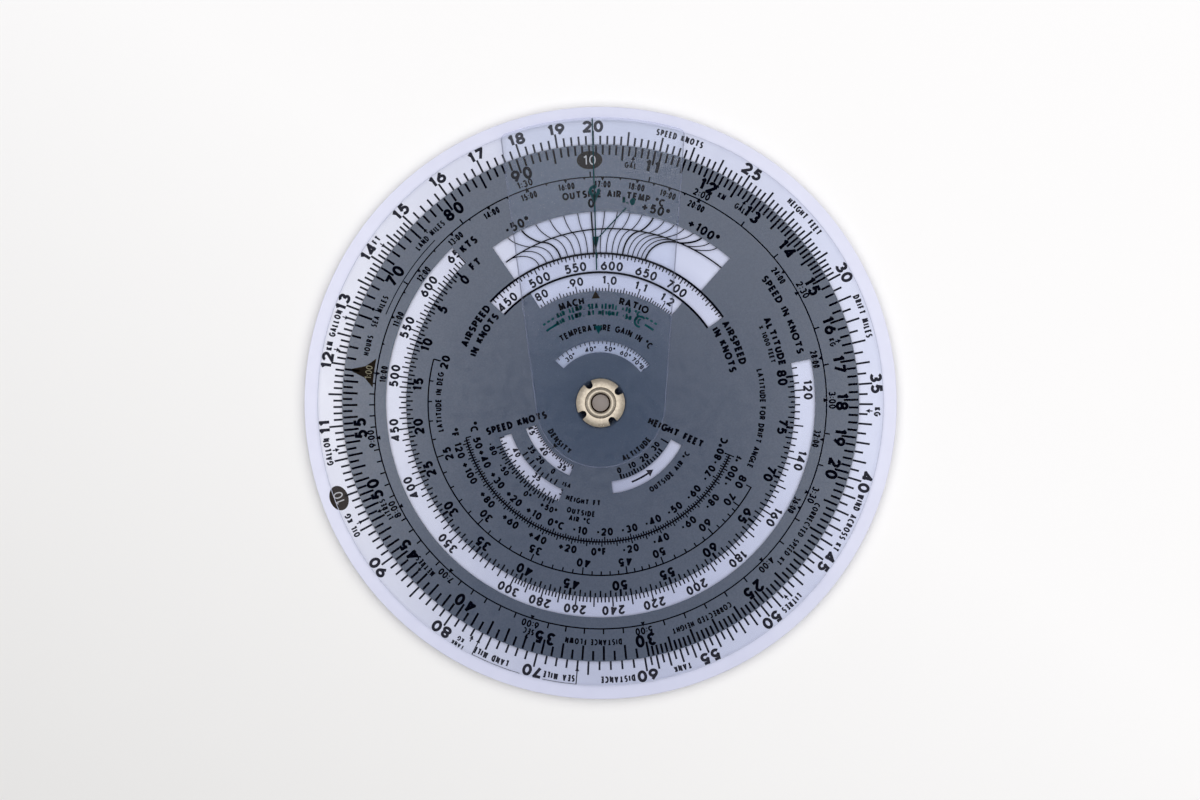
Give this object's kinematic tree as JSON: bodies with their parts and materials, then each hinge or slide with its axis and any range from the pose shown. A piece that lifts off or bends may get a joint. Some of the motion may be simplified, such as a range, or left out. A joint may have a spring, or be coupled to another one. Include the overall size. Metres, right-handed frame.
{
  "type": "circular flight computer",
  "caption": "Round slide-rule flight computer: printed disc with turning windowed calculator disc, clear cursor arm, wind and compass discs behind, all on a hollow eyelet.",
  "frame": {"origin": "centre of the eyelet at the rear flange's resting face", "axes": "+Z out of the calculator side, +Y towards the base disc's top mark, +X to the right seen from the calculator side"},
  "size_m": [0.1524, 0.1524, 0.0057],
  "materials": {
    "white_plastic": "satin",
    "clear_plastic": "gloss",
    "grey_print": "satin",
    "cursor_plastic": "gloss",
    "wind_plastic": "satin",
    "compass_plastic": "satin",
    "eyelet_metal": "satin",
    "slip_film": "matte"
  },
  "bodies": {
    "base": {"base_disc": "white_plastic", "eyelet": "eyelet_metal", "spring_washer": "eyelet_metal", "calculator_slip_washer": "slip_film", "cursor_slip_washer": "slip_film", "wind_slip_washer": "slip_film", "compass_slip_washer": "slip_film", "flange_slip_washer": "slip_film"},
    "calculator": {"calculator_disc": "clear_plastic", "calculator_print": "grey_print"},
    "cursor": {"cursor_arm": "cursor_plastic"},
    "wind": {"wind_disc": "wind_plastic"},
    "compass": {"compass_disc": "compass_plastic"}
  },
  "joints": [
    {"name": "calculator_turn", "type": "hinge", "parent": "base", "child": "calculator", "pos_m": [0, 0, 0.003], "axis": [0, 0, 1], "continuous": true},
    {"name": "cursor_turn", "type": "hinge", "parent": "base", "child": "cursor", "pos_m": [0, 0, 0.00366], "axis": [0, 0, 1], "continuous": true},
    {"name": "wind_turn", "type": "hinge", "parent": "base", "child": "wind", "pos_m": [0, 0, 0.0014], "axis": [0, 0, 1], "continuous": true},
    {"name": "compass_turn", "type": "hinge", "parent": "base", "child": "compass", "pos_m": [0, 0, 0.0008], "axis": [0, 0, 1], "continuous": true}
  ]
}
